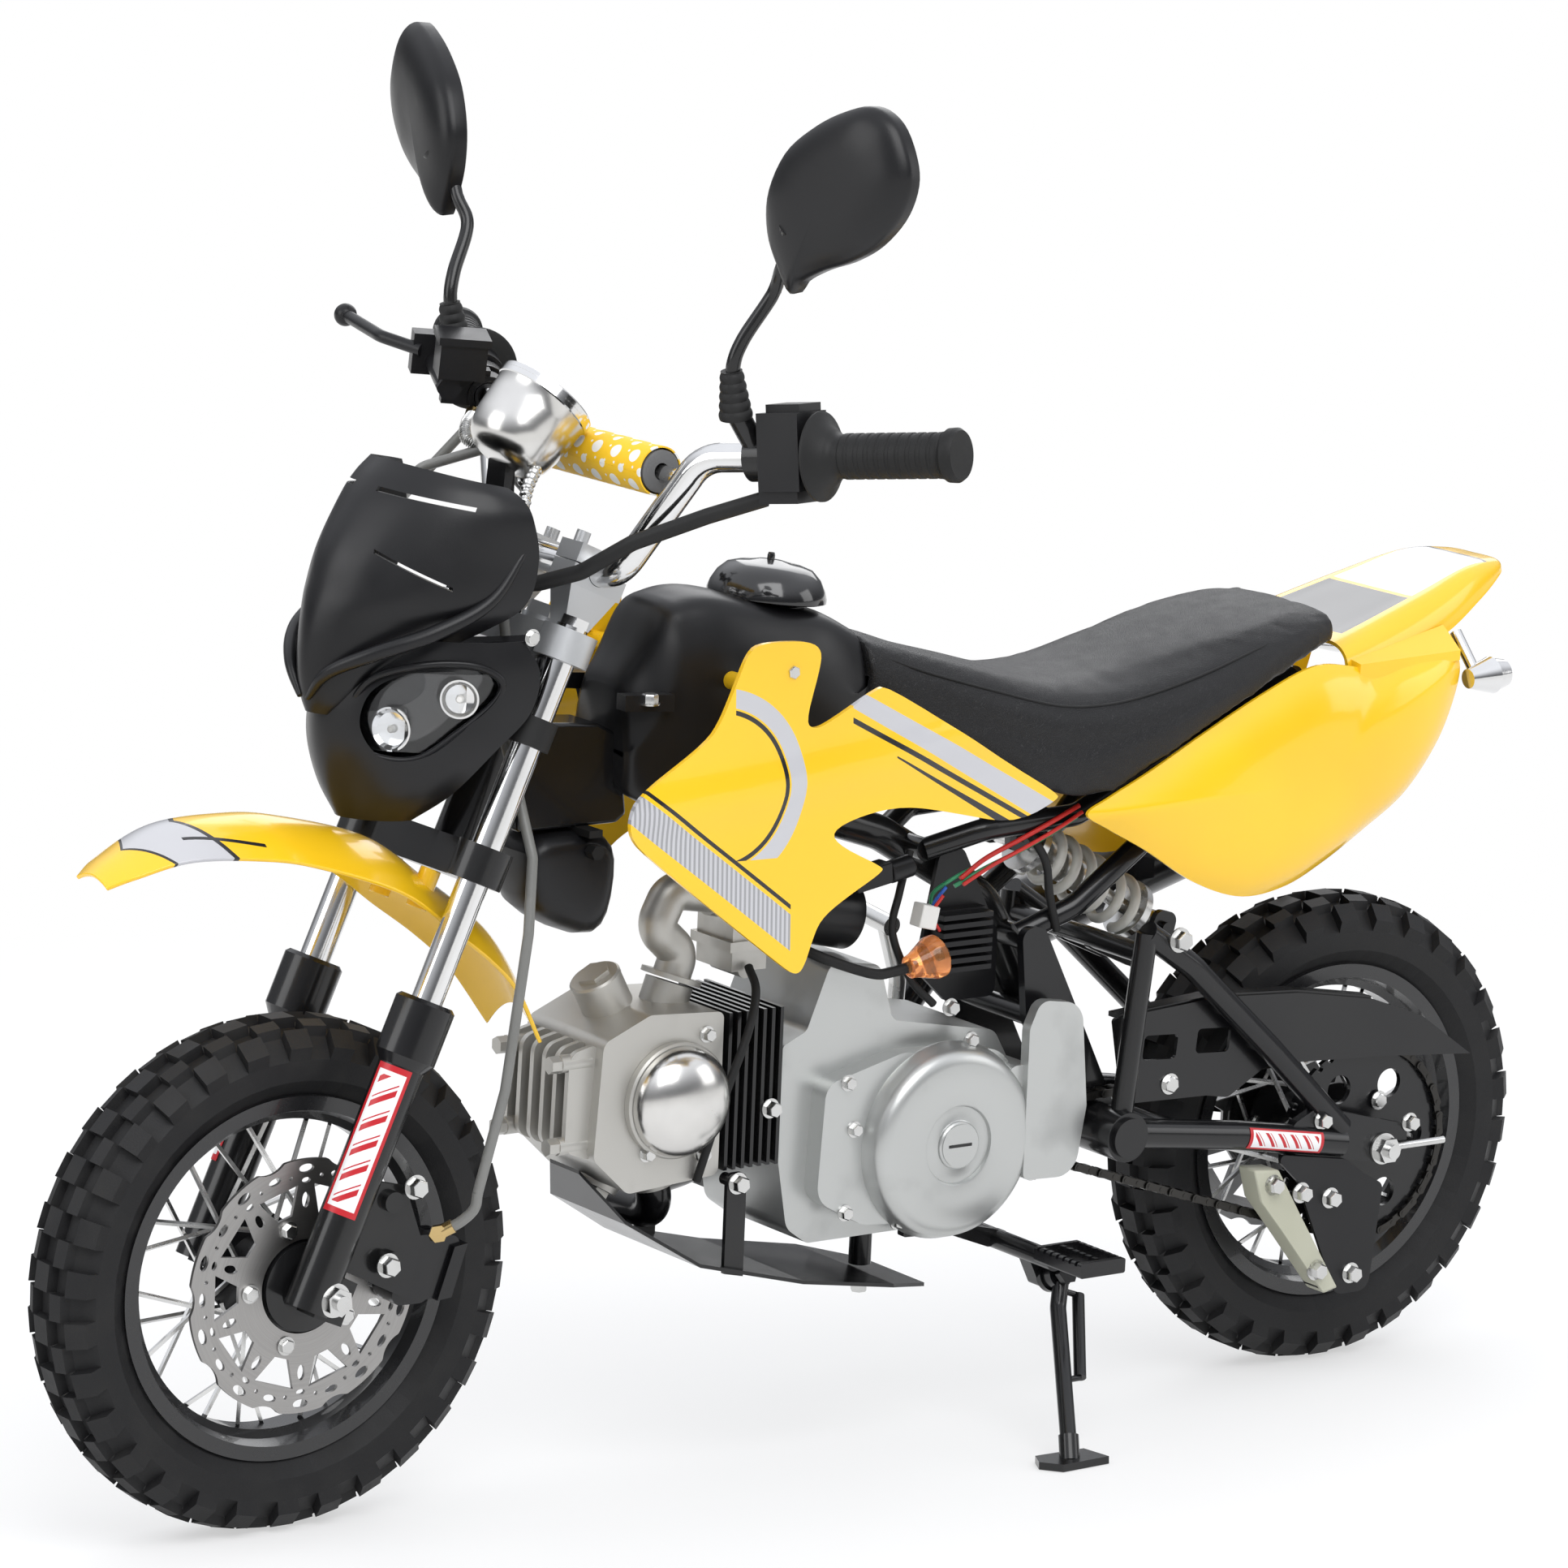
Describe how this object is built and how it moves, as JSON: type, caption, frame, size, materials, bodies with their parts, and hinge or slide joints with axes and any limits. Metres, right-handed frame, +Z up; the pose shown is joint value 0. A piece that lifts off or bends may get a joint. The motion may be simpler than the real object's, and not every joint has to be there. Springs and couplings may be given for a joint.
{
  "type": "kids dirt bike",
  "caption": "Small off-road motorcycle for children with knobbly tyres on wire wheels, long-travel fork, rear shock, horizontal engine and side stand, leaning as it parks.",
  "frame": {"origin": "middle of the bounding box on the ground that both tyres and the stand touch", "axes": "+X forward along the wheelbase, +Y to the rider's left, +Z up; the bike leans 4 degrees to its left on the stand"},
  "size_m": [1.39, 0.6917, 1.1049],
  "materials": {
    "tyre": "matt black",
    "bright_rim": "polished",
    "cast_alloy": "satin cast",
    "steel": "brushed",
    "chrome": "polished",
    "black_metal": "gloss black",
    "black_plastic": "satin black",
    "gloss_black": "gloss black",
    "rubber": "matt black",
    "yellow_plastic": "gloss yellow",
    "white_spring": "pale cream paint",
    "pad_cloth": "printed yellow cover with white dots",
    "seat_cover": "grained black cover",
    "lamp_glass": "clear lens over reflectors",
    "amber_clear": "clear amber"
  },
  "bodies": {
    "chassis": {"frame": "black_metal", "swingarm": "black_metal", "rear_axle": "steel", "shock_damper": "chrome", "shock_spring": "white_spring", "engine_case": "cast_alloy", "cylinder": "cast_alloy", "cylinder_head": "cast_alloy", "carburettor": "cast_alloy", "air_filter": "black_plastic", "exhaust": "black_metal", "skid_plate": "black_metal", "chain": "steel", "chain_guard": "black_metal", "chain_guide": "black_plastic", "rear_caliper": "black_metal", "footpegs": "black_metal", "seat": "seat_cover", "tank": "black_plastic", "tank_cap": "gloss_black", "shrouds": "yellow_plastic", "rear_fender": "yellow_plastic", "rear_lamps": "steel", "regulator": "black_plastic", "fuel_filter": "amber_clear", "kick_starter": "steel", "brake_pedal": "black_metal"},
    "fork": {"fork_tubes": "chrome", "fork_sliders": "black_metal", "front_axle": "steel", "lower_clamp": "black_metal", "upper_clamp": "cast_alloy", "handlebar": "chrome", "crossbar_pad": "pad_cloth", "grips": "rubber", "switch_box": "black_plastic", "brake_master": "black_plastic", "mirrors": "black_plastic", "speedometer": "chrome", "headlight_mask": "black_plastic", "headlight": "lamp_glass", "front_fender": "yellow_plastic", "front_caliper": "black_metal", "brake_hose": "rubber", "wiring_loom": "rubber"},
    "front_wheel": {"front_tyre": "tyre", "front_rim": "bright_rim", "front_hub": "cast_alloy", "front_disc": "steel"},
    "rear_wheel": {"rear_tyre": "tyre", "rear_rim": "bright_rim", "rear_hub": "cast_alloy", "rear_disc": "steel", "rear_sprocket": "steel"},
    "side_stand": {"side_stand": "black_metal"}
  },
  "joints": [
    {"name": "steering", "type": "hinge", "parent": "chassis", "child": "fork", "pos_m": [0.31648, -0.03193, 0.57244], "axis": [-0.3976, 0.064, 0.9153], "range_deg": [-38, 38]},
    {"name": "front_wheel_spin", "type": "hinge", "parent": "fork", "child": "front_wheel", "pos_m": [0.5, -0.05832, 0.19515], "axis": [0, 0.9976, -0.0698], "continuous": true},
    {"name": "rear_wheel_spin", "type": "hinge", "parent": "chassis", "child": "rear_wheel", "pos_m": [-0.5, -0.05832, 0.19515], "axis": [0, 0.9976, -0.0698], "continuous": true},
    {"name": "side_stand_fold", "type": "hinge", "parent": "chassis", "child": "side_stand", "pos_m": [-0.163, 0.02892, 0.12389], "axis": [0, 0.9613, 0.2756], "range_deg": [0, 95]}
  ]
}
